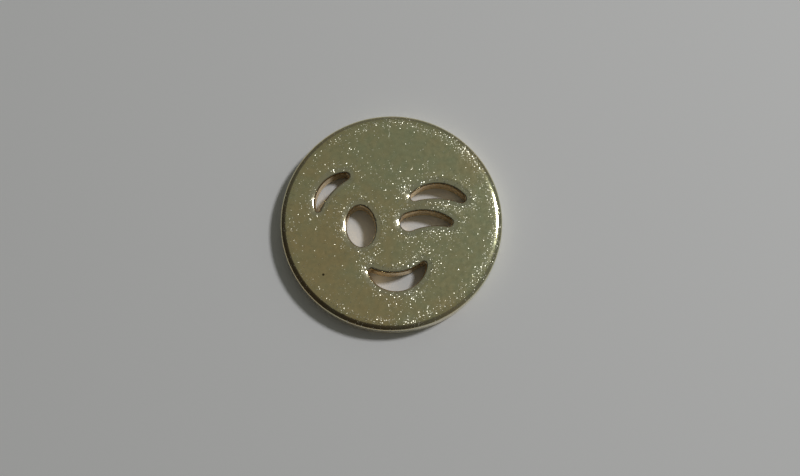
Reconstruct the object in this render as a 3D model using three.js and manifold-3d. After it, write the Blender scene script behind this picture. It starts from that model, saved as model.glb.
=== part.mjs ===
// A pierced transit token: a single disc of yellow metal with rounded edges, lying on its back face.
// Five openings go right through it and make a winking face: an open eye, a closed eye, two brows and a mouth.
// Millimetres. The origin is the centre of the back face, +Z is out of the front face and +Y is the top of the face.
import * as THREE from "three";
import { mergeVertices } from "three/addons/utils/BufferGeometryUtils.js";
import Module from "manifold-3d";

// The blank.
const DIAMETER = 23.25;
const THICKNESS = 2.33;
// The rounding of the outer edge, as wide on the face and as deep on the wall.
const RIM_ROUND_WIDTH = 0.8;
const RIM_ROUND_DEPTH = 0.45;
// The rounding where an opening breaks a face.
const LIP_RADIUS = 0.28;

// The open eye is an upright ellipse.
const EYE = { centre: new THREE.Vector2(-3.28, -0.22), width: 2.96, height: 4.38 };

// Each slit is what a round cutter leaves as it runs along an arc while its radius changes: it starts and ends at
// the two points, the arc rises that far to the left of the straight line between them, and halfway along the
// cutter is larger by swell than the mean of its two end radii.
const LEFT_BROW = {
  from: new THREE.Vector2(-7.56, 2.04),
  to: new THREE.Vector2(-4.32, 5.36),
  rise: 0.76,
  startRadius: 0.17,
  endRadius: 0.36,
  swell: 0.37,
};
const RIGHT_BROW = {
  from: new THREE.Vector2(2.7, 2.32),
  to: new THREE.Vector2(7.6, 1.5),
  rise: 0.74,
  startRadius: 0.42,
  endRadius: 0.4,
  swell: 0.35,
};
const CLOSED_EYE = {
  from: new THREE.Vector2(1.8, -0.36),
  to: new THREE.Vector2(5.92, -0.9),
  rise: 0.42,
  startRadius: 0.92,
  endRadius: 0.38,
  swell: 0.12,
};
const MOUTH = {
  from: new THREE.Vector2(-2.74, -5.17),
  to: new THREE.Vector2(2.74, -5.1),
  rise: -1.43,
  startRadius: 0.26,
  endRadius: 0.28,
  swell: 0.66,
};

// How finely curves are cut into flats.
const RIM_FLATS = 120;
const RIM_ROUND_STEPS = 5;
const LIP_STEPS = 3;
const SIDE_STEPS = 18;
const END_STEPS = 8;
const EYE_POINTS = 48;
// How far a cutter stands out of both faces, so that no two surfaces are flush when it cuts.
const CUTTER_OVERRUN = 0.002;

const wasm = await Module();
wasm.setup();

const yellowMetal = new THREE.MeshStandardMaterial({ color: 0xc2b078, roughness: 0.35, metalness: 1 });

// A closed three.js geometry as a manifold-3d solid.
function toSolid(geometry) {
  const bare = geometry.index ? geometry.toNonIndexed() : geometry.clone();
  bare.deleteAttribute("normal");
  bare.deleteAttribute("uv");
  const merged = mergeVertices(bare, 1e-4);
  return new wasm.Manifold(
    new wasm.Mesh({
      numProp: 3,
      vertProperties: merged.attributes.position.array,
      triVerts: new Uint32Array(merged.index.array),
    }),
  );
}

// A manifold-3d solid as a three.js geometry with flat faces.
function toGeometry(solid) {
  const { vertProperties, triVerts } = solid.getMesh();
  const indexed = new THREE.BufferGeometry();
  indexed.setAttribute("position", new THREE.BufferAttribute(vertProperties, 3));
  indexed.setIndex(new THREE.BufferAttribute(triVerts, 1));
  const geometry = indexed.toNonIndexed();
  geometry.computeVertexNormals();
  return geometry;
}

// The whole disc, turned from half its cross-section.
function makeBlank() {
  const radius = DIAMETER / 2;
  const profile = [new THREE.Vector2(0, 0)];
  const addRound = (roundHeight, side) => {
    for (let step = 0; step <= RIM_ROUND_STEPS; step += 1) {
      const turn = (step / RIM_ROUND_STEPS) * (Math.PI / 2);
      const angle = side < 0 ? turn : Math.PI / 2 - turn;
      const x = radius - RIM_ROUND_WIDTH * (1 - Math.sin(angle));
      const y = roundHeight + side * RIM_ROUND_DEPTH * Math.cos(angle);
      profile.push(new THREE.Vector2(x, y));
    }
  };
  addRound(RIM_ROUND_DEPTH, -1);
  addRound(THICKNESS - RIM_ROUND_DEPTH, 1);
  profile.push(new THREE.Vector2(0, THICKNESS));
  const disc = new THREE.LatheGeometry(profile, RIM_FLATS);
  return disc.rotateX(Math.PI / 2);
}

// The outline of the open eye.
function eyeOutline({ centre, width, height }) {
  const ellipse = new THREE.EllipseCurve(centre.x, centre.y, width / 2, height / 2);
  return ellipse.getPoints(EYE_POINTS).slice(0, EYE_POINTS);
}

// The outline of a slit, anticlockwise.
function slitOutline({ from, to, rise, startRadius, endRadius, swell }) {
  const chord = from.distanceTo(to);
  const along = to.clone().sub(from).normalize();
  const across = new THREE.Vector2(-along.y, along.x);
  const arcRadius = (chord ** 2 / 4 + rise ** 2) / (2 * Math.abs(rise));
  const side = Math.sign(rise);
  const arcCentre = from.clone().lerp(to, 0.5).addScaledVector(across, rise - side * arcRadius);
  const halfTurn = Math.asin(chord / 2 / arcRadius);
  const arcLength = 2 * halfTurn * arcRadius;

  // A point on the cutter's edge at a share of its way, at an angle from the way it heads.
  const edgePoint = (share, angle) => {
    const turn = halfTurn * (2 * share - 1);
    const cutterRadius = startRadius + (endRadius - startRadius) * share + swell * 4 * share * (1 - share);
    const heading = along.angle() - side * turn;
    return arcCentre
      .clone()
      .addScaledVector(across, side * arcRadius * Math.cos(turn))
      .addScaledVector(along, arcRadius * Math.sin(turn))
      .add(new THREE.Vector2(Math.cos(heading + angle), Math.sin(heading + angle)).multiplyScalar(cutterRadius));
  };
  // The angle from the heading at which the growing or shrinking cutter touches the slit's side.
  const touchAngle = (share) => {
    const growth = (endRadius - startRadius + swell * 4 * (1 - 2 * share)) / arcLength;
    return Math.acos(-growth);
  };

  const points = [];
  for (let step = 0; step < SIDE_STEPS; step += 1) {
    const share = step / SIDE_STEPS;
    points.push(edgePoint(share, -touchAngle(share)));
  }
  for (let step = 0; step < END_STEPS; step += 1) {
    points.push(edgePoint(1, touchAngle(1) * ((2 * step) / END_STEPS - 1)));
  }
  for (let step = 0; step < SIDE_STEPS; step += 1) {
    const share = 1 - step / SIDE_STEPS;
    points.push(edgePoint(share, touchAngle(share)));
  }
  for (let step = 0; step < END_STEPS; step += 1) {
    const backTurn = (Math.PI - touchAngle(0)) * ((2 * step) / END_STEPS - 1);
    points.push(edgePoint(0, Math.PI + backTurn));
  }
  return points;
}

// The tool that pierces one opening: straight in the middle, and flared at both ends to leave the rounded lips.
function makeCutter(outline) {
  const cutter = new THREE.ExtrudeGeometry(new THREE.Shape(outline), {
    depth: THICKNESS + 2 * CUTTER_OVERRUN - 2 * LIP_RADIUS,
    bevelEnabled: true,
    bevelThickness: LIP_RADIUS,
    bevelSize: -LIP_RADIUS,
    bevelOffset: LIP_RADIUS,
    bevelSegments: LIP_STEPS,
  });
  return cutter.translate(0, 0, LIP_RADIUS - CUTTER_OVERRUN);
}

function makeToken() {
  const outlines = [eyeOutline(EYE), ...[LEFT_BROW, RIGHT_BROW, CLOSED_EYE, MOUTH].map(slitOutline)];
  const pierced = outlines.reduce(
    (solid, outline) => solid.subtract(toSolid(makeCutter(outline))),
    toSolid(makeBlank()),
  );
  const token = new THREE.Mesh(toGeometry(pierced), yellowMetal);
  token.name = "token_disc";
  return token;
}

const transitToken = new THREE.Group();
transitToken.add(makeToken());

export default transitToken;
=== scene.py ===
"""A pierced transit token: one struck disc of yellow metal with a winking face cut through it.

The disc lies on its back face on a plain sheet of paper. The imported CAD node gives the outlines, the
thickness and the edge rounding. This script turns them into a fine mesh with softened edges, tumbling
marks and nicks, and dresses it. Lengths are metres in the CAD frame: +Z is out of the front face and +Y is
towards the top of the winking face.
"""

import logging
import math
from dataclasses import dataclass, field
from enum import Enum

import bpy
import numpy as np
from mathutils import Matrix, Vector
from mathutils.geometry import delaunay_2d_cdt
from mathutils.kdtree import KDTree

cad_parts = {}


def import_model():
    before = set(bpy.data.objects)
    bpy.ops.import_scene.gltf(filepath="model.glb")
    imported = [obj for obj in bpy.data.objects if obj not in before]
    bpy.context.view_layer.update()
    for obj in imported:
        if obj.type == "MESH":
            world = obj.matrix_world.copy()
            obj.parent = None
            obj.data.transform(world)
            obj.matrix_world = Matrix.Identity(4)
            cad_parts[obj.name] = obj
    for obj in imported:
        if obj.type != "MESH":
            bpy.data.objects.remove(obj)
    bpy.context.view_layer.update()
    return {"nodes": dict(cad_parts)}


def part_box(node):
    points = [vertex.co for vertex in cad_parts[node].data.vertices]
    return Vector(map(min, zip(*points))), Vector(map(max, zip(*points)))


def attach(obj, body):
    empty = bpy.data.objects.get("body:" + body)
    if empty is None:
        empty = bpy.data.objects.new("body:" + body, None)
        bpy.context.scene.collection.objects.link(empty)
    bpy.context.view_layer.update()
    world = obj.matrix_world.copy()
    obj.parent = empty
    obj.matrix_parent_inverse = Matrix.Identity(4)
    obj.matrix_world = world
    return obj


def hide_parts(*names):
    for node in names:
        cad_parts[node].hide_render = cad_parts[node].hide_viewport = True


LOG = logging.getLogger("token")

MM = 0.001
TOKEN_NODE = "token_disc"

# How the triangulation of a face is cut off and how close, in millimetres, two points are one.
CUT_TO_HULL = 1
MERGE_DISTANCE = 1e-6

Socket = bpy.types.NodeSocket
Colour = tuple[float, float, float, float]


class Attribute(Enum):
    """The mesh attributes that the wear tree and the finish read and write."""

    WALL = "wall_share"
    OPENING = "opening_distance"
    RIM = "rim_distance"
    DENT = "dent_share"


class Mark(Enum):
    """The two kinds of edge that a token has."""

    RIM = "rim"
    OPENING = "opening"


class Graph:
    """Adds nodes to a node tree and wires them up, from left to right."""

    def __init__(self, tree: bpy.types.NodeTree) -> None:
        """Starts an empty graph.

        Args:
            tree: The node tree to fill. Whatever it holds is removed.
        """
        self.tree = tree
        self.tree.nodes.clear()

    def add(self, kind: str, inputs: dict | None = None, **settings: object) -> bpy.types.Node:
        """Adds one node.

        Args:
            kind: The node's type, such as ShaderNodeMath.
            inputs: Socket name or index to a value, or to the output socket that feeds it.
            **settings: The node's own properties, such as operation.

        Returns:
            The new node.
        """
        node = self.tree.nodes.new(kind)
        for name, value in settings.items():
            setattr(node, name, value)
        for key, value in (inputs or {}).items():
            if isinstance(value, Socket):
                self.tree.links.new(value, node.inputs[key])
            else:
                node.inputs[key].default_value = value
        return node

    def math(self, operation: str, *values: object, clamp: bool = False) -> Socket:
        """Adds a Math node.

        Args:
            operation: The operation's name, such as MULTIPLY.
            *values: Its numbers or the sockets that feed them.
            clamp: Whether the result is kept between 0 and 1.

        Returns:
            The result's socket.
        """
        node = self.add("ShaderNodeMath", dict(enumerate(values)), operation=operation, use_clamp=clamp)
        return node.outputs[0]

    def vector(self, operation: str, *values: object) -> Socket:
        """Adds a Vector Math node whose result is a vector.

        Args:
            operation: The operation's name, such as ADD.
            *values: Its vectors or the sockets that feed them.

        Returns:
            The result's socket.
        """
        node = self.add("ShaderNodeVectorMath", dict(enumerate(values)), operation=operation)
        return node.outputs["Vector"]

    def scaled(self, vector: object, factor: object) -> Socket:
        """Adds a Vector Math node that multiplies a vector by a number.

        Args:
            vector: The vector or its socket.
            factor: The number or its socket.

        Returns:
            The result's socket.
        """
        node = self.add("ShaderNodeVectorMath", {0: vector, "Scale": factor}, operation="SCALE")
        return node.outputs["Vector"]

    def measured(self, operation: str, *values: object) -> Socket:
        """Adds a Vector Math node whose result is a number.

        Args:
            operation: LENGTH, DISTANCE or DOT_PRODUCT.
            *values: Its vectors or the sockets that feed them.

        Returns:
            The result's socket.
        """
        node = self.add("ShaderNodeVectorMath", dict(enumerate(values)), operation=operation)
        return node.outputs["Value"]

    def ramp(
        self, value: object, start: float, end: float, low: object = 0.0, high: object = 1.0
    ) -> Socket:
        """Adds a smooth ramp.

        Args:
            value: The number or socket that drives it.
            start: The driving value at which the ramp begins.
            end: The driving value at which the ramp ends.
            low: The result at the start.
            high: The result at the end.

        Returns:
            The result's socket.
        """
        sockets = {"Value": value, "From Min": start, "From Max": end, "To Min": low, "To Max": high}
        node = self.add("ShaderNodeMapRange", sockets, interpolation_type="SMOOTHSTEP")
        return node.outputs["Result"]

    def noise(
        self, vector: object, scale: object, detail: float = 2.0, roughness: float = 0.5
    ) -> Socket:
        """Adds a 3D noise texture.

        Args:
            vector: The socket of the place.
            scale: Features per unit of the place.
            detail: Octaves of finer noise.
            roughness: How strong the finer octaves are.

        Returns:
            The socket of its value, about 0.5 on average.
        """
        sockets = {"Vector": vector, "Scale": scale, "Detail": detail, "Roughness": roughness}
        node = self.add("ShaderNodeTexNoise", sockets)
        return node.outputs[0]

    def blend(self, factor: object, first: object, second: object) -> Socket:
        """Adds a colour mix.

        Args:
            factor: The share of the second colour.
            first: The first colour or its socket.
            second: The second colour or its socket.

        Returns:
            The mixed colour's socket.
        """
        node = self.add("ShaderNodeMix", data_type="RGBA")
        for index, value in ((0, factor), (6, first), (7, second)):
            if isinstance(value, Socket):
                self.tree.links.new(value, node.inputs[index])
            else:
                node.inputs[index].default_value = value
        return node.outputs[2]


@dataclass(frozen=True)
class EdgeRounding:
    """The rounding between a face and a wall, as a quarter of an ellipse."""

    width: float
    depth: float
    steps: int
    wall_onset: int = 4

    def sections(self) -> list[tuple[float, float, float]]:
        """Lists the rounding's rings.

        Returns:
            For each ring from the face to the wall: how far in from the wall, how far below the face, and
            how much of a wall it is, from 0 to 1.
        """
        angles = [math.pi / 2 * step / self.steps for step in range(self.steps + 1)]
        return [
            (self.width * (1 - math.sin(a)), self.depth * (1 - math.cos(a)), math.sin(a) ** self.wall_onset)
            for a in angles
        ]


@dataclass
class Outline:
    """One closed edge of the token, seen from the front, anticlockwise."""

    mark: Mark
    points: np.ndarray
    rounding: EdgeRounding
    fewest_points: int = 24

    def smoothed(self, per_side: int = 24) -> np.ndarray:
        """Runs a centripetal Catmull-Rom curve through the outline's corners.

        Args:
            per_side: Points on each side of the faceted outline.

        Returns:
            The curve's points, closed without repeating the first.
        """
        p = [np.roll(self.points, shift, axis=0) for shift in (1, 0, -1, -2)]
        knot = [np.zeros(len(self.points))]
        for before, after in zip(p, p[1:]):
            knot.append(knot[-1] + np.sqrt(np.linalg.norm(after - before, axis=1)))
        share = np.arange(per_side) / per_side
        t = knot[1][:, None] + (knot[2] - knot[1])[:, None] * share

        def between(a: np.ndarray, b: np.ndarray, start: np.ndarray, end: np.ndarray) -> np.ndarray:
            """Blends two point arrays by where t lies between two knots.

            Args:
                a: Points at the start.
                b: Points at the end.
                start: The start's knots.
                end: The end's knots.

            Returns:
                The blended points.
            """
            w = ((t - start[:, None]) / (end - start)[:, None])[..., None]
            return a * (1 - w) + b * w

        p = [q[:, None, :] for q in p]
        a1, a2, a3 = (between(p[i], p[i + 1], knot[i], knot[i + 1]) for i in range(3))
        b1, b2 = between(a1, a2, knot[0], knot[2]), between(a2, a3, knot[1], knot[3])
        return between(b1, b2, knot[1], knot[2]).reshape(-1, 2)

    def resampled(self, spacing: float) -> tuple[np.ndarray, np.ndarray]:
        """Spaces points evenly where the rounding meets the face, and takes them back to the wall.

        Args:
            spacing: The distance between points on that ring.

        Returns:
            Points on the wall, and the unit directions from each into the metal.
        """
        curve = self.smoothed()
        inward = self.into_metal(curve)
        ring = curve + inward * self.rounding.width
        sides = np.linalg.norm(np.roll(ring, -1, axis=0) - ring, axis=1)
        run = np.concatenate([[0], np.cumsum(sides)])
        count = max(self.fewest_points, round(run[-1] / spacing))
        stops = np.arange(count) / count * run[-1]
        closed = np.vstack([curve, curve[:1]])
        wall = np.column_stack([np.interp(stops, run, closed[:, axis]) for axis in (0, 1)])
        directions = np.vstack([inward, inward[:1]])
        into = np.column_stack([np.interp(stops, run, directions[:, axis]) for axis in (0, 1)])
        return wall, into / np.linalg.norm(into, axis=1, keepdims=True)

    def into_metal(self, curve: np.ndarray) -> np.ndarray:
        """Finds the unit direction into the metal at each point of a closed curve.

        Args:
            curve: The curve's points, anticlockwise.

        Returns:
            One direction for each point.
        """
        along = np.roll(curve, -1, axis=0) - np.roll(curve, 1, axis=0)
        along /= np.linalg.norm(along, axis=1, keepdims=True)
        right = np.column_stack([along[:, 1], -along[:, 0]])
        return right if self.mark is Mark.OPENING else -right


@dataclass
class FacetedDisc:
    """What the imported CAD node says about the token's shape, with its roundings made a little tighter."""

    rim_steps: int = 12
    lip_steps: int = 8
    lip_stretch: float = 0.6
    rim_squash: float = 0.7
    rim_reach: float = 0.9
    near: float = 1e-3 * MM
    level_slope: float = 1e-6
    thickness: float = 0.0
    radius: float = 0.0
    outlines: list[Outline] = field(default_factory=list)

    def read(self, node: bpy.types.Object) -> "FacetedDisc":
        """Reads the outlines and sizes off the node's mesh.

        Args:
            node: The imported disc, lying on z = 0.

        Returns:
            This object, filled in.
        """
        low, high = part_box(node.name)
        self.thickness = high.z - low.z
        self.radius = (high.x - low.x) / 2
        for loop, wall_top in self.wall_loops(node):
            reach = np.linalg.norm(loop, axis=1).max()
            depth = high.z - wall_top
            if reach > self.rim_reach * self.radius:
                width = self.radius - self.face_reach(node, high.z)
                rounding = EdgeRounding(width, depth * self.rim_squash, self.rim_steps)
                self.outlines.append(Outline(Mark.RIM, self.circle(len(loop)), rounding))
            else:
                rounding = EdgeRounding(depth * self.lip_stretch, depth, self.lip_steps)
                self.outlines.append(Outline(Mark.OPENING, loop, rounding))
        return self

    def circle(self, count: int) -> np.ndarray:
        """Spaces points round the rim.

        Args:
            count: How many points.

        Returns:
            The points, anticlockwise.
        """
        turn = 2 * math.pi * np.arange(count) / count
        return self.radius * np.column_stack([np.cos(turn), np.sin(turn)])

    def face_reach(self, node: bpy.types.Object, level: float) -> float:
        """Finds how far from the axis the flat face reaches.

        Args:
            node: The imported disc.
            level: The face's height.

        Returns:
            The largest distance from the axis at that height.
        """
        return max(v.co.xy.length for v in node.data.vertices if abs(v.co.z - level) < self.near)

    def wall_loops(self, node: bpy.types.Object) -> list[tuple[np.ndarray, float]]:
        """Chains the top edges of the upright walls into closed loops.

        Args:
            node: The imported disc.

        Returns:
            For each wall, its loop of plan points, anticlockwise, and the height of its top.
        """
        places = [v.co for v in node.data.vertices]
        following: dict[tuple[int, int], set] = {}
        tops: dict[tuple[int, int], float] = {}
        for polygon in node.data.polygons:
            if abs(polygon.normal.z) > self.level_slope:
                continue
            corners = [places[i] for i in polygon.vertices]
            top = max(c.z for c in corners)
            level = [c for c in corners if top - c.z < self.near]
            if len(level) != 2:
                continue
            keys = [(round(c.x / self.near), round(c.y / self.near)) for c in level]
            if keys[0] != keys[1]:
                for a, b in (keys, keys[::-1]):
                    following.setdefault(a, set()).add(b)
                    tops[a] = top
        loops = []
        while following:
            start = here = min(following)
            chain = []
            while here is not None:
                chain.append(here)
                links = following.pop(here)
                here = next((k for k in sorted(links) if k in following), None)
            loop = np.array(chain, float) * self.near
            ahead = np.roll(loop, -1, axis=0)
            area = np.sum(loop[:, 0] * ahead[:, 1] - loop[:, 1] * ahead[:, 0]) / 2
            loops.append((loop if area > 0 else loop[::-1], tops[start]))
        return loops


@dataclass
class RollOver:
    """The broad, shallow sag of a face towards an edge, left by piercing and tumbling."""

    width: float
    depth: float
    power: float = 2.0

    def sag(self, distance: np.ndarray) -> np.ndarray:
        """Works out the sag.

        Args:
            distance: Distances from the edge.

        Returns:
            How far the face lies below its plane at each.
        """
        return self.depth * np.clip(1 - distance / self.width, 0, 1) ** self.power


@dataclass
class TokenShell:
    """The disc's fine mesh: two faces joined by the rim and by the walls of the openings."""

    disc: FacetedDisc
    spacing: float = 0.12 * MM
    wall_spacing: float = 0.14 * MM
    border_margin: float = 0.6
    rim_roll: RollOver = field(default_factory=lambda: RollOver(0.95 * MM, 0.10 * MM, 1.5))
    opening_roll: RollOver = field(default_factory=lambda: RollOver(0.75 * MM, 0.16 * MM, 1.4))

    def build(self, name: str) -> bpy.types.Object:
        """Makes the closed mesh with its attributes.

        Args:
            name: The object's name.

        Returns:
            The object, linked to the scene.
        """
        rings = [outline.resampled(self.spacing) for outline in self.disc.outlines]
        plan, triangles, starts = self.face_plan(rings)
        distances = self.edge_distances(plan)
        drop = self.sags(distances)
        top = self.disc.thickness
        count = len(plan)
        places = [np.column_stack([plan, top - drop]), np.column_stack([plan, drop])]
        attributes = [np.column_stack([distances.T, np.zeros(count)])] * 2
        faces = [tuple(t) for t in triangles]
        faces += [tuple(count + i for i in reversed(t)) for t in triangles]
        used = 2 * count
        for outline, (wall, into), start in zip(self.disc.outlines, rings, starts):
            side_places, side_attributes = self.side(outline, wall, into)
            size = len(wall)
            levels = len(side_places) // size
            rows = [np.arange(size) + start]
            rows += [used + level * size + np.arange(size) for level in range(levels)]
            rows += [np.arange(size) + start + count]
            faces += self.stitched(rows, outline.mark)
            places.append(side_places)
            attributes.append(side_attributes)
            used += len(side_places)
        mesh = bpy.data.meshes.new(name)
        mesh.from_pydata(np.vstack(places).tolist(), [], faces)
        mesh.polygons.foreach_set("use_smooth", [True] * len(mesh.polygons))
        values = np.vstack(attributes)
        for column, attribute in enumerate((Attribute.OPENING, Attribute.RIM, Attribute.WALL)):
            layer = mesh.attributes.new(attribute.value, "FLOAT", "POINT")
            layer.data.foreach_set("value", values[:, column].astype(np.float32))
        mesh.update()
        shell = bpy.data.objects.new(name, mesh)
        bpy.context.scene.collection.objects.link(shell)
        return shell

    def face_plan(self, rings: list[tuple[np.ndarray, np.ndarray]]) -> tuple[np.ndarray, list, list[int]]:
        """Triangulates the flat part of a face.

        Args:
            rings: Each outline's wall points and directions into the metal.

        Returns:
            The plan points, the triangles, and where each outline's points start.
        """
        borders = [
            wall + into * outline.rounding.width for outline, (wall, into) in zip(self.disc.outlines, rings)
        ]
        starts = np.cumsum([0] + [len(b) for b in borders]).tolist()
        inner = self.grid()
        distances = self.edge_distances(inner)
        margins = [
            min(o.rounding.width for o in self.disc.outlines if o.mark is mark)
            + self.border_margin * self.spacing
            for mark in (Mark.OPENING, Mark.RIM)
        ]
        inside = (distances[0] > margins[0]) & (distances[1] > margins[1]) & self.in_metal(inner, borders)
        plan = np.vstack([*borders, inner[inside]])
        links = []
        for border, start in zip(borders, starts):
            size = len(border)
            links += [(start + i, start + (i + 1) % size) for i in range(size)]
        found = delaunay_2d_cdt([Vector(p / MM) for p in plan], links, [], CUT_TO_HULL, MERGE_DISTANCE)
        triangles = [t for t in found[2] if self.is_metal(t, starts, borders)]
        return plan, triangles, starts[:-1]

    def grid(self) -> np.ndarray:
        """Lays a triangular grid of points over the disc.

        Returns:
            The points inside the rim.
        """
        radius, step = self.disc.radius, self.spacing
        rows = np.arange(-radius, radius, step * math.sqrt(3) / 2)
        columns = np.arange(-radius, radius, step)
        x = columns[None, :] + step / 2 * (np.arange(len(rows)) % 2)[:, None]
        y = np.broadcast_to(rows[:, None], x.shape)
        points = np.column_stack([x.ravel(), y.ravel()])
        return points[np.linalg.norm(points, axis=1) < radius]

    def in_metal(self, points: np.ndarray, borders: list[np.ndarray]) -> np.ndarray:
        """Tests which points lie outside every opening.

        Args:
            points: Plan points.
            borders: Each outline's border on the face.

        Returns:
            True for each point that lies in the metal.
        """
        metal = np.ones(len(points), bool)
        for outline, border in zip(self.disc.outlines, borders):
            if outline.mark is Mark.OPENING:
                metal &= ~self.within(points, border)
        return metal

    @staticmethod
    def within(points: np.ndarray, border: np.ndarray) -> np.ndarray:
        """Tests which points lie inside a closed border.

        Args:
            points: Plan points.
            border: The border's corners.

        Returns:
            True for each point inside it.
        """
        inside = np.zeros(len(points), bool)
        x, y = points[:, 0], points[:, 1]
        for (ax, ay), (bx, by) in zip(border, np.roll(border, -1, axis=0)):
            if ay != by:
                crosses = (ay > y) != (by > y)
                inside ^= crosses & (x < (bx - ax) * (y - ay) / (by - ay) + ax)
        return inside

    def is_metal(self, triangle: tuple, starts: list[int], borders: list[np.ndarray]) -> bool:
        """Tells a triangle of metal from one that spans an opening.

        Args:
            triangle: Its three plan points.
            starts: Where each outline's points start.
            borders: Each outline's border on the face.

        Returns:
            Whether it lies in the metal.
        """
        for index, outline in enumerate(self.disc.outlines):
            low, high = starts[index], starts[index + 1]
            if outline.mark is Mark.OPENING and all(low <= i < high for i in triangle):
                middle = np.mean([borders[index][i - low] for i in triangle], axis=0)
                return not self.within(middle[None, :], borders[index])[0]
        return True

    def edge_distances(self, plan: np.ndarray) -> np.ndarray:
        """Measures how far points are from the nearest opening and from the rim.

        Args:
            plan: Plan points.

        Returns:
            Two rows of distances: to the openings and to the rim.
        """
        openings = np.vstack([o.smoothed() for o in self.disc.outlines if o.mark is Mark.OPENING])
        tree = KDTree(len(openings))
        for index, (x, y) in enumerate(openings):
            tree.insert((x, y, 0), index)
        tree.balance()
        to_opening = [tree.find((x, y, 0))[2] for x, y in plan]
        to_rim = self.disc.radius - np.linalg.norm(plan, axis=1)
        return np.array([to_opening, to_rim])

    def sags(self, distances: np.ndarray) -> np.ndarray:
        """Adds up the sags of the openings and of the rim."""
        return self.opening_roll.sag(distances[0]) + self.rim_roll.sag(distances[1])

    def side(self, outline: Outline, wall: np.ndarray, into: np.ndarray) -> tuple[np.ndarray, np.ndarray]:
        """Makes the rings between the two faces along one outline.

        Args:
            outline: The outline.
            wall: Its wall points.
            into: Its directions into the metal.

        Returns:
            The rings' places and attributes, from the front face to the back.
        """
        sections = outline.rounding.sections()[1:]
        top, places, attributes = self.disc.thickness, [], []
        for inset, drop, share in sections:
            plan = wall + into * inset
            distances = self.edge_distances(plan)
            sunk = drop + self.sags(distances)
            places.append(np.column_stack([plan, top - sunk]))
            attributes.append(np.column_stack([distances.T, np.full(len(plan), share)]))
        height = places[-1][:, 2] * 2 - top
        rows = max(2, round(float(height.mean()) / self.wall_spacing))
        lower = [np.column_stack([p[:, :2], top - p[:, 2]]) for p in reversed(places)]
        middle = [places[-1] * (1 - row / rows) + lower[0] * (row / rows) for row in range(1, rows)]
        places = places + middle + lower
        attributes = attributes + [attributes[-1]] * len(middle) + attributes[::-1]
        return np.vstack(places), np.vstack(attributes)

    @staticmethod
    def stitched(rows: list[np.ndarray], mark: Mark) -> list[tuple[int, int, int, int]]:
        """Joins closed rings of points with four-sided faces that point out of the metal.

        Args:
            rows: The rings' point numbers, from the front face to the back.
            mark: Whether this is the rim or an opening.

        Returns:
            The faces.
        """
        faces = []
        for upper, lower in zip(rows, rows[1:]):
            ring = zip(upper, np.roll(upper, -1), np.roll(lower, -1), lower)
            faces += [tuple(int(i) for i in (face if mark is Mark.OPENING else face[::-1])) for face in ring]
        return faces


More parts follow.
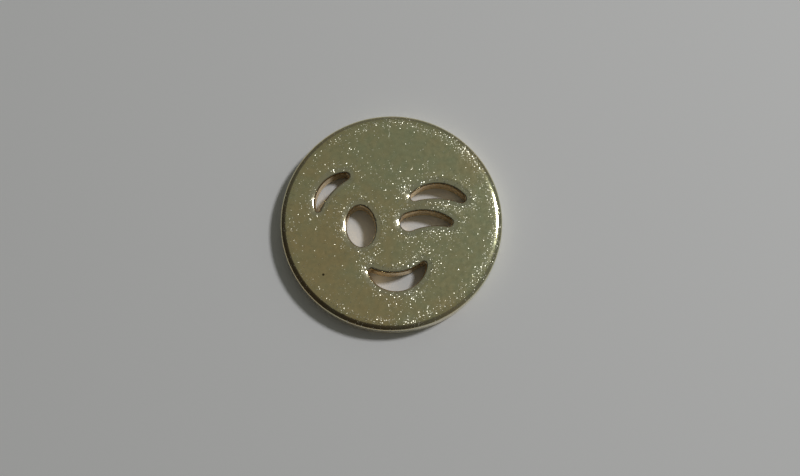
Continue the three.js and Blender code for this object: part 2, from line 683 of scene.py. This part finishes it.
@dataclass(frozen=True)
class Wear:
    """The marks that piercing, tumbling and use leave in the metal, as a Geometry Nodes tree."""

    peel_size: float = 0.55 * MM
    peel_depth: float = 0.006 * MM
    nick_spacing: float = 0.85 * MM
    nick_radius: float = 0.16 * MM
    nick_depth: float = 0.012 * MM
    nick_stretch: float = 2.0
    tear_height: float = 0.95 * MM
    tear_wander: float = 0.9 * MM
    tear_width: float = 0.22 * MM
    tear_depth: float = 0.03 * MM
    wall_peel: float = 1.5
    tear_bends: float = 0.22 / MM
    tear_breaks: float = 0.6 / MM
    seed: int = 7

    def sizes(self) -> dict[str, float]:
        """Names the tree's size inputs.

        Returns:
            Each input's name with its value.
        """
        return {
            "Peel Size": self.peel_size,
            "Peel Depth": self.peel_depth,
            "Nick Spacing": self.nick_spacing,
            "Nick Radius": self.nick_radius,
            "Nick Depth": self.nick_depth,
            "Nick Stretch": self.nick_stretch,
            "Tear Height": self.tear_height,
            "Tear Wander": self.tear_wander,
            "Tear Width": self.tear_width,
            "Tear Depth": self.tear_depth,
        }

    def apply(self, shell: bpy.types.Object, metal: bpy.types.Material) -> None:
        """Works the marks into the shell's mesh and dresses it.

        Args:
            shell: The token's fine mesh, which is replaced by the worn one.
            metal: The material to set.
        """
        tree = self.tree()
        modifier = shell.modifiers.new("wear", "NODES")
        modifier.node_group = tree
        sockets = {
            item.name: item.identifier
            for item in tree.interface.items_tree
            if item.item_type == "SOCKET" and item.in_out == "INPUT"
        }
        for name, value in {**self.sizes(), "Seed": self.seed, "Metal": metal}.items():
            modifier[sockets[name]] = value
        graph = bpy.context.evaluated_depsgraph_get()
        worn = bpy.data.meshes.new_from_object(
            shell.evaluated_get(graph), preserve_all_data_layers=True, depsgraph=graph
        )
        shell.modifiers.remove(modifier)
        fresh, shell.data = shell.data, worn
        worn.name = fresh.name
        bpy.data.meshes.remove(fresh)

    def tree(self) -> bpy.types.NodeTree:
        """Builds the Geometry Nodes tree.

        Returns:
            The tree, with a named input for each size, the seed and the material.
        """
        tree = bpy.data.node_groups.new("token_wear", "GeometryNodeTree")
        face = tree.interface
        face.new_socket("Geometry", in_out="INPUT", socket_type="NodeSocketGeometry")
        for name in self.sizes():
            face.new_socket(name, in_out="INPUT", socket_type="NodeSocketFloat")
        face.new_socket("Seed", in_out="INPUT", socket_type="NodeSocketInt")
        face.new_socket("Metal", in_out="INPUT", socket_type="NodeSocketMaterial")
        face.new_socket("Geometry", in_out="OUTPUT", socket_type="NodeSocketGeometry")
        g = Graph(tree)
        given = g.add("NodeGroupInput").outputs
        place = g.add("GeometryNodeInputPosition").outputs[0]
        normal = g.add("GeometryNodeInputNormal").outputs[0]
        wall = g.add("GeometryNodeInputNamedAttribute", {"Name": Attribute.WALL.value}, data_type="FLOAT")
        wall = wall.outputs[0]
        peel = self.peel(g, given, place, wall)
        nick = self.nicks(g, given, place, normal)
        tear = self.tear(g, given, place, wall)
        depth = g.math("ADD", peel, g.math("MULTIPLY", nick, given["Nick Depth"]))
        depth = g.math("ADD", depth, g.math("MULTIPLY", tear, given["Tear Depth"]))
        dent = g.math("MAXIMUM", nick, tear)
        marked = g.add(
            "GeometryNodeStoreNamedAttribute",
            {"Geometry": given["Geometry"], "Name": Attribute.DENT.value, "Value": dent},
            data_type="FLOAT",
            domain="POINT",
        )
        inward = g.scaled(normal, g.math("MULTIPLY", depth, -1.0))
        moved = g.add("GeometryNodeSetPosition", {"Geometry": marked.outputs[0], "Offset": inward})
        real = g.add("GeometryNodeRealizeInstances", {"Geometry": moved.outputs[0]})
        dressed = g.add("GeometryNodeSetMaterial", {"Geometry": real.outputs[0], "Material": given["Metal"]})
        g.add("NodeGroupOutput", {0: dressed.outputs[0]})
        return tree

    def peel(self, g: Graph, given: object, place: object, wall: object) -> Socket:
        """Makes the soft unevenness of a tumbled skin, stronger on the pierced walls.

        Args:
            g: The graph.
            given: The tree's inputs.
            place: The point's place.
            wall: How much of a wall the point is.

        Returns:
            The socket of the depth.
        """
        scale = g.math("DIVIDE", 1.0, given["Peel Size"])
        height = g.noise(place, scale, detail=2.5, roughness=0.55)
        strength = g.math("MULTIPLY_ADD", wall, self.wall_peel, 1.0)
        return g.math("MULTIPLY", g.math("MULTIPLY", height, given["Peel Depth"]), strength)

    @staticmethod
    def nicks(g: Graph, given: object, place: object, normal: object) -> Socket:
        """Scatters small long dents over the surface.

        Args:
            g: The graph.
            given: The tree's inputs.
            place: The point's place.
            normal: The surface's normal.

        Returns:
            The socket of the share of a full dent, from 0 to 1.
        """
        spacing, seed = given["Nick Spacing"], given["Seed"]
        density = g.math("DIVIDE", 1.0, g.math("MULTIPLY", spacing, spacing))
        spread = g.add(
            "GeometryNodeDistributePointsOnFaces",
            {"Mesh": given["Geometry"], "Distance Min": spacing, "Density Max": density, "Seed": seed},
            distribute_method="POISSON",
        ).outputs["Points"]
        nearest = g.add("GeometryNodeSampleNearest", {"Geometry": spread, "Sample Position": place})
        nearest = nearest.outputs[0]
        spot = g.add("GeometryNodeInputPosition").outputs[0]
        centre = g.add(
            "GeometryNodeSampleIndex",
            {"Geometry": spread, "Value": spot, "Index": nearest},
            data_type="FLOAT_VECTOR",
        ).outputs[0]
        turned = g.add("FunctionNodeRandomValue", {"ID": nearest, "Seed": seed}, data_type="FLOAT_VECTOR")
        turned.inputs["Min"].default_value = (-1.0, -1.0, -1.0)
        along = g.vector("NORMALIZE", g.vector("CROSS_PRODUCT", normal, turned.outputs[0]))
        away = g.vector("SUBTRACT", place, centre)
        squeeze = g.math("SUBTRACT", 1.0, g.math("DIVIDE", 1.0, given["Nick Stretch"]))
        shift = g.scaled(along, g.math("MULTIPLY", g.measured("DOT_PRODUCT", away, along), squeeze))
        distance = g.measured("LENGTH", g.vector("SUBTRACT", away, shift))
        other_seed = g.math("ADD", seed, 1.0)
        size = g.add("FunctionNodeRandomValue", {"ID": nearest, "Seed": other_seed}, data_type="FLOAT")
        size = g.ramp(size.outputs[1], 0.0, 1.0, 0.2, 1.0)
        reach = g.math("MULTIPLY", given["Nick Radius"], size)
        bowl = g.ramp(g.math("DIVIDE", distance, reach), 1.0, 0.0)
        return g.math("MULTIPLY", bowl, size)

    def tear(self, g: Graph, given: object, place: object, wall: object) -> Socket:
        """Draws the broken line where the punch stopped cutting and the metal tore.

        Args:
            g: The graph.
            given: The tree's inputs.
            place: The point's place.
            wall: How much of a wall the point is.

        Returns:
            The socket of the share of the full depth, from 0 to 1.
        """
        height = g.add("ShaderNodeSeparateXYZ", {0: place}).outputs["Z"]
        wander = g.math("SUBTRACT", g.noise(place, self.tear_bends, detail=5.0, roughness=0.7), 0.5)
        line = g.math("MULTIPLY_ADD", wander, given["Tear Wander"], given["Tear Height"])
        off = g.math("DIVIDE", g.math("ABSOLUTE", g.math("SUBTRACT", height, line)), given["Tear Width"])
        broken = g.ramp(g.noise(place, self.tear_breaks, detail=4.0, roughness=0.7), 0.3, 0.6)
        return g.math("MULTIPLY", g.math("MULTIPLY", g.ramp(off, 1.0, 0.0), broken), wall)


@dataclass(frozen=True)
class SkinPoint:
    """What the finish knows of each point of the skin."""

    place: Socket
    opening: Socket
    rim: Socket
    wall: Socket
    dent: Socket

    @classmethod
    def read(cls, g: Graph) -> "SkinPoint":
        """Reads the point's place and the mesh's attributes.

        Args:
            g: The graph.

        Returns:
            The sockets: the place in millimetres, the distances from the nearest opening and from the rim in
            metres, how much of a wall the point is, and how deep in a dent it is.
        """
        place = g.scaled(g.add("ShaderNodeTexCoord").outputs["Object"], 1 / MM)
        values = {
            attribute: g.add("ShaderNodeAttribute", attribute_name=attribute.value).outputs["Fac"]
            for attribute in Attribute
        }
        return cls(
            place,
            values[Attribute.OPENING],
            values[Attribute.RIM],
            values[Attribute.WALL],
            values[Attribute.DENT],
        )


@dataclass(frozen=True)
class TumbledPlate:
    """Tumbled yellow plating: a satin skin of fine facets that glint, with scratches and darker walls. Its
    tone holds painted shade along the openings' lips and a painted reflection towards the lit side.

    The sizes of facets, grains, scratches and the speck are millimetres, and the scales of patterns are
    features to the millimetre.
    """

    warm: Colour = (0.90, 0.715, 0.395, 1.0)
    cool: Colour = (0.75, 0.775, 0.50, 1.0)
    wall_tone: Colour = (0.94, 0.70, 0.38, 1.0)
    bare: Colour = (0.88, 0.86, 0.74, 1.0)
    # Dark brown for the random film, the dents, the speck of dirt and the painted shade along the openings'
    # lips.
    grime_and_shade: Colour = (0.10, 0.075, 0.04, 1.0)
    cloud_scale: float = 0.16
    mottle_scale: float = 0.9
    film_scale: float = 1.8
    film_share: float = 0.12
    lip_bareness: float = 0.38
    wall_bareness: float = 0.55
    pierced_share: float = 0.85
    # How dark the painted shade along the openings' lips is.
    lip_painted_shade: float = 0.6
    dent_darkening: float = 0.35
    roughness: float = 0.20
    haze_scale: float = 2.2
    edge_polish: float = -0.11
    wall_roughness: float = 0.17
    dent_roughness: float = 0.1
    flurry_scale: float = 0.42
    facet_size: float = 0.062
    facet_tilt: float = 0.30
    facet_haze: float = 0.02
    facet_gloss: float = 0.19
    facet_bareness: float = 0.8
    facet_share: float = 0.155
    lone_facets: float = 0.004
    stray_facets: float = 0.35
    stray_scale: float = 0.25
    grain_size: float = 0.08
    grain_tilt: float = 0.03
    scratch_tilt: float = 0.15
    scratch_width: float = 0.017
    scratch_spacing: float = 0.7
    scratch_wander: float = 4.0
    scratch_reach: tuple[float, float, float] = (1.2, 0.45, 1.0)
    trail_share: float = 0.3
    speck: tuple[float, float, float] = (-7.66, -4.95, 2.33)
    speck_radius: float = 0.16

    def build(self, name: str) -> bpy.types.Material:
        """Makes the material.

        Args:
            name: The material's name.

        Returns:
            The material.
        """
        material = bpy.data.materials.new(name)
        material.use_nodes = True
        g = Graph(material.node_tree)
        at = SkinPoint.read(g)
        busy = self.busy(g, at)
        normal, picked = self.facets(g, at.place, busy)
        tone = g.blend(g.math("MULTIPLY", picked, self.facet_bareness), self.colour(g, at), self.bare)
        gloss = g.math("MULTIPLY_ADD", picked, self.facet_gloss, self.gloss(g, at, busy))
        shader = g.add(
            "ShaderNodeBsdfPrincipled",
            {"Base Color": tone, "Metallic": 1.0, "Roughness": gloss, "Normal": normal},
        )
        g.add("ShaderNodeOutputMaterial", {0: shader.outputs[0]})
        return material

    def colour(self, g: Graph, at: SkinPoint) -> Socket:
        """Makes the metal's tone: cloudy on the faces, greener towards the upper right as a painted
        reflection of the lit side, paler where it is rubbed, browner in the openings, with a painted dark
        line of shade along their lips.

        Args:
            g: The graph.
            at: The point of the skin.

        Returns:
            The colour's socket.
        """
        clouds = g.ramp(g.noise(at.place, self.cloud_scale, detail=3.0), 0.36, 0.64)
        mottle = g.ramp(g.noise(at.place, self.mottle_scale, detail=3.0, roughness=0.6), 0.35, 0.68)
        # Painted reflection: the tone turns greener towards the upper right, the side of the key and of the
        # brighter room.
        painted_sheen_slant = g.ramp(g.measured("DOT_PRODUCT", at.place, (0.8, 0.6, 0.0)), -9.0, 9.0)
        share = g.math("MULTIPLY_ADD", mottle, 0.25, g.math("MULTIPLY", clouds, 0.4))
        share = g.math("MULTIPLY_ADD", painted_sheen_slant, 0.35, share)
        tone = g.blend(share, self.warm, self.cool)
        film = g.noise(at.place, self.film_scale, detail=4.0, roughness=0.65)
        tone = g.blend(g.ramp(film, 0.35, 0.7, 0.0, self.film_share), tone, self.grime_and_shade)
        lip = g.ramp(at.opening, 0.8 * MM, 0.4 * MM, 0.0, self.lip_bareness)
        band = g.ramp(at.wall, 0.8, 1.0, 0.0, self.wall_bareness)
        tone = g.blend(g.math("MAXIMUM", lip, band), tone, self.bare)
        pierced = g.ramp(at.opening, 1.0 * MM, 0.5 * MM, 0.0, self.pierced_share)
        tone = g.blend(g.math("MULTIPLY", at.wall, pierced), tone, self.wall_tone)
        # Painted shade: a dark line along the steep part of each opening's lip, standing in for the dark
        # room that the lip reflects.
        shaded_lip_band = g.math("MULTIPLY", g.ramp(at.wall, 0.05, 0.3), g.ramp(at.wall, 1.0, 0.95))
        lip_shade_share = g.ramp(at.opening, 0.5 * MM, 0.3 * MM, 0.0, self.lip_painted_shade)
        tone = g.blend(g.math("MULTIPLY", shaded_lip_band, lip_shade_share), tone, self.grime_and_shade)
        # Darker in the dents and along the torn line.
        tone = g.blend(g.math("MULTIPLY", at.dent, self.dent_darkening), tone, self.grime_and_shade)
        away = g.measured("DISTANCE", at.place, self.speck)
        return g.blend(g.ramp(away, self.speck_radius, 0.6 * self.speck_radius), tone, self.grime_and_shade)

    def gloss(self, g: Graph, at: SkinPoint, busy: Socket) -> Socket:
        """Makes the roughness: hazy on the faces, polished along the edges and rougher on the walls.

        Args:
            g: The graph.
            at: The point of the skin.
            busy: How much the skin is dented into facets there.

        Returns:
            The roughness's socket.
        """
        haze = g.noise(at.place, self.haze_scale, detail=4.0, roughness=0.6)
        base = g.ramp(haze, 0.3, 0.7, self.roughness - 0.02, self.roughness + 0.03)
        hazed = g.math("MULTIPLY_ADD", busy, self.facet_haze, base)
        edge = g.math(
            "MAXIMUM", g.ramp(at.rim, 1.1 * MM, 0.4 * MM), g.ramp(at.opening, 0.9 * MM, 0.4 * MM)
        )
        polished = g.math("MULTIPLY_ADD", edge, self.edge_polish, hazed)
        dented = g.math("MULTIPLY_ADD", at.dent, self.dent_roughness, polished)
        return g.math("MULTIPLY_ADD", at.wall, self.wall_roughness, dented)

    def busy(self, g: Graph, at: SkinPoint) -> Socket:
        """Finds where tumbling has dented the skin most: in flurries round the openings and along the rim.

        Args:
            g: The graph.
            at: The point of the skin.

        Returns:
            The socket of how dented the skin is, about 0 to 1, and less towards -X.
        """
        halo = g.math(
            "MULTIPLY",
            g.ramp(at.opening, 2.0 * MM, 0.8 * MM),
            g.ramp(at.opening, 0.2 * MM, 0.45 * MM, 0.5, 1.0),
        )
        band = g.math(
            "MULTIPLY", g.ramp(at.rim, 1.8 * MM, 0.9 * MM), g.ramp(at.rim, 0.3 * MM, 0.65 * MM, 0.5, 1.2)
        )
        flurries = g.noise(at.place, self.flurry_scale, detail=3.0, roughness=0.6)
        flurries = g.math("MULTIPLY_ADD", g.ramp(flurries, 0.40, 0.66), 0.75, 0.25)
        across = g.measured("DOT_PRODUCT", at.place, (1.0, 0.0, 0.0))
        near = g.math("MULTIPLY", g.math("MAXIMUM", halo, band), g.ramp(across, -10.0, 3.0, 0.4, 1.15))
        return g.math("MULTIPLY", near, flurries)

    def facets(self, g: Graph, place: Socket, busy: Socket) -> tuple[Socket, Socket]:
        """Tilts the normal cell by cell, as the tiny dents of a tumbled skin do, and along the scratches.

        Args:
            g: The graph.
            place: The place in millimetres.
            busy: How much the skin is dented into facets there.

        Returns:
            The sockets of the normal and of whether the point is in a tilted cell.
        """
        middle = (0.5, 0.5, 0.5)
        cells = g.add("ShaderNodeTexVoronoi", {"Vector": place, "Scale": 1 / self.facet_size})
        pick = g.add("ShaderNodeTexWhiteNoise", {"Vector": cells.outputs["Color"]}, noise_dimensions="3D")
        stray = g.noise(place, self.stray_scale, detail=4.0, roughness=0.7)
        stray = g.ramp(stray, 0.52, 0.72, self.lone_facets, self.stray_facets * self.facet_share)
        scratched, trail = self.scratches(g, place)
        chance = g.math("MULTIPLY_ADD", busy, self.facet_share, stray)
        chance = g.math("MULTIPLY_ADD", trail, self.trail_share, chance)
        picked = g.math("LESS_THAN", pick.outputs["Value"], chance)
        coarse = g.vector("NORMALIZE", g.vector("SUBTRACT", cells.outputs["Color"], middle))
        coarse = g.scaled(coarse, g.math("MULTIPLY", picked, self.facet_tilt))
        specks = g.add("ShaderNodeTexVoronoi", {"Vector": place, "Scale": 1 / self.grain_size})
        fine = g.scaled(g.vector("SUBTRACT", specks.outputs["Color"], middle), self.grain_tilt)
        normal = g.add("ShaderNodeNewGeometry").outputs["Normal"]
        tilt = g.vector("ADD", g.vector("ADD", coarse, fine), scratched)
        return g.vector("NORMALIZE", g.vector("ADD", normal, tilt)), picked

    def scratches(self, g: Graph, place: Socket) -> tuple[Socket, Socket]:
        """Tilts the normal sideways along a few fine upright scratches, and marks their crumbled edges.

        Args:
            g: The graph.
            place: The place in millimetres.

        Returns:
            The sockets of the tilt and of how much the skin is crumbled there.
        """
        wander = g.math("MULTIPLY", g.noise(place, 0.35, detail=2.0), self.scratch_wander)
        across = g.math("ADD", g.add("ShaderNodeSeparateXYZ", {0: place}).outputs["X"], wander)
        off = g.math("PINGPONG", across, self.scratch_spacing / 2)
        line = g.ramp(off, self.scratch_width, 0.3 * self.scratch_width)
        trail = g.ramp(off, 3.0 * self.scratch_width, 2.0 * self.scratch_width)
        pieces = g.noise(g.vector("MULTIPLY", place, self.scratch_reach), 1.0, detail=2.0)
        patches = g.noise(place, self.cloud_scale, detail=2.0)
        broken = g.math("MULTIPLY", g.ramp(pieces, 0.58, 0.66), g.ramp(patches, 0.5, 0.6))
        along = g.add("ShaderNodeCombineXYZ", {"X": self.scratch_tilt}).outputs[0]
        return g.scaled(along, g.math("MULTIPLY", line, broken)), g.math("MULTIPLY", trail, broken)


@dataclass(frozen=True)
class Paper:
    """A sheet of plain pale paper, a little uneven."""

    side: float = 0.9
    tone: Colour = (0.86, 0.862, 0.875, 1.0)
    roughness: float = 0.75
    fibre_scale: float = 2.5
    fibre_height: float = 0.03 * MM
    fibre_strength: float = 0.15

    def build(self) -> bpy.types.Object:
        """Lays the sheet under the token.

        Returns:
            The sheet.
        """
        half = self.side / 2
        mesh = bpy.data.meshes.new("paper")
        edge = [(-half, -half, 0), (half, -half, 0), (half, half, 0), (-half, half, 0)]
        mesh.from_pydata(edge, [], [(0, 1, 2, 3)])
        material = bpy.data.materials.new("paper")
        material.use_nodes = True
        g = Graph(material.node_tree)
        place = g.scaled(g.add("ShaderNodeTexCoord").outputs["Object"], 1 / MM)
        fibre = g.noise(place, self.fibre_scale, detail=5.0, roughness=0.65)
        bump = g.add(
            "ShaderNodeBump",
            {"Height": fibre, "Strength": self.fibre_strength, "Distance": self.fibre_height},
        )
        shader = g.add(
            "ShaderNodeBsdfPrincipled",
            {"Base Color": self.tone, "Roughness": self.roughness, "Normal": bump.outputs[0]},
        )
        g.add("ShaderNodeOutputMaterial", {0: shader.outputs[0]})
        mesh.materials.append(material)
        sheet = bpy.data.objects.new("paper", mesh)
        bpy.context.scene.collection.objects.link(sheet)
        return sheet


@dataclass(frozen=True)
class Studio:
    """The camera and the lights: one soft key from the right and a dim surround. Angles are degrees."""

    azimuth: float = -5.0
    tilt: float = 14.5
    distance: float = 0.120
    lens: float = 51.15
    clip_start: float = 5 * MM
    aim_right: float = 0.85 * MM
    aim_down: float = 1.61 * MM
    key_azimuth: float = 21.0
    key_elevation: float = 53.0
    key_distance: float = 0.5
    key_size: float = 0.0786
    key_power: float = 0.94
    zenith: tuple[float, float, float] = (0.166, 0.172, 0.143)
    horizon: tuple[float, float, float] = (0.022, 0.020, 0.018)
    lit_horizon: tuple[float, float, float] = (0.13, 0.13, 0.125)
    lit_azimuth: float = 30.0
    glow_azimuth: float = 60.0
    glow_elevation: float = 72.0
    glow_edge: float = 41.0
    glow_full: float = 37.0

    def build(self, centre: Vector) -> None:
        """Sets up the camera, the key light and the surround.

        Args:
            centre: The middle of the token.
        """
        self.place_camera(centre)
        self.place_key(centre)
        self.paint_surround()
        bpy.context.scene.view_settings.view_transform = "Standard"

    @staticmethod
    def direction(azimuth: float, elevation: float) -> Vector:
        """Turns two angles into a unit vector.

        Args:
            azimuth: Degrees from +X towards +Y.
            elevation: Degrees above the floor.

        Returns:
            The vector.
        """
        a, e = math.radians(azimuth), math.radians(elevation)
        return Vector((math.cos(a) * math.cos(e), math.sin(a) * math.cos(e), math.sin(e)))

    def place_camera(self, centre: Vector) -> None:
        """Places the camera above the token, a little towards its lower edge.

        Args:
            centre: The middle of the token.
        """
        data = bpy.data.cameras.new("camera")
        data.lens = self.lens
        data.clip_start = self.clip_start
        camera = bpy.data.objects.new("camera", data)
        bpy.context.scene.collection.objects.link(camera)
        back = self.direction(self.azimuth - 90, 90 - self.tilt)
        turn = back.to_track_quat("Z", "Y")
        right, up = turn @ Vector((1, 0, 0)), turn @ Vector((0, 1, 0))
        camera.location = centre + back * self.distance
        aim = centre + right * self.aim_right - up * self.aim_down
        camera.rotation_euler = (camera.location - aim).to_track_quat("Z", "Y").to_euler()
        bpy.context.scene.camera = camera

    def place_key(self, centre: Vector) -> None:
        """Hangs the key light.

        Args:
            centre: The middle of the token.
        """
        data = bpy.data.lights.new("key", "AREA")
        data.shape = "DISK"
        data.size = self.key_size
        data.energy = self.key_power
        key = bpy.data.objects.new("key", data)
        bpy.context.scene.collection.objects.link(key)
        towards = self.direction(self.key_azimuth, self.key_elevation)
        key.location = centre + towards * self.key_distance
        key.rotation_euler = towards.to_track_quat("Z", "Y").to_euler()

    def paint_surround(self) -> None:
        """Lights the surround: brightest overhead, dim low down on the key's side, dark on the other."""
        world = bpy.data.worlds.new("surround")
        world.use_nodes = True
        bpy.context.scene.world = world
        g = Graph(world.node_tree)
        towards = g.add("ShaderNodeTexCoord").outputs["Generated"]
        middle = self.direction(self.glow_azimuth, self.glow_elevation)
        bright_side = self.direction(self.lit_azimuth, 0.0)
        nearness = g.measured("DOT_PRODUCT", towards, middle)
        side = g.ramp(g.measured("DOT_PRODUCT", towards, bright_side), -0.7, 0.5)
        low = g.blend(side, (*self.horizon, 1.0), (*self.lit_horizon, 1.0))
        edge, full = math.cos(math.radians(self.glow_edge)), math.cos(math.radians(self.glow_full))
        light = g.blend(g.ramp(nearness, edge, full), low, (*self.zenith, 1.0))
        background = g.add("ShaderNodeBackground", {"Color": light, "Strength": 1.0})
        g.add("ShaderNodeOutputWorld", {0: background.outputs[0]})


def corners(box: tuple) -> list[list[float]]:
    """Turns a box into plain lists of numbers."""
    return [[float(value) for value in corner] for corner in box]


def main() -> None:
    """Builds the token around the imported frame, with its floor, lights and camera."""
    logging.basicConfig(level=logging.INFO, format="%(name)s: %(message)s")
    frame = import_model()
    low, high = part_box(TOKEN_NODE)
    Studio().build((low + high) / 2)
    disc = FacetedDisc().read(frame["nodes"][TOKEN_NODE])
    LOG.info("disc: %.2f mm across, %d outlines", 2 * disc.radius / MM, len(disc.outlines))
    metal = TumbledPlate().build("tumbled_yellow_plate")
    token = TokenShell(disc).build("token")
    Wear().apply(token, metal)
    LOG.info("token: %d vertices, %d faces", len(token.data.vertices), len(token.data.polygons))
    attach(token, "root")
    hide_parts(TOKEN_NODE)
    sheet = Paper().build()
    LOG.info("paper: laid")


if __name__ == "__main__":
    main()
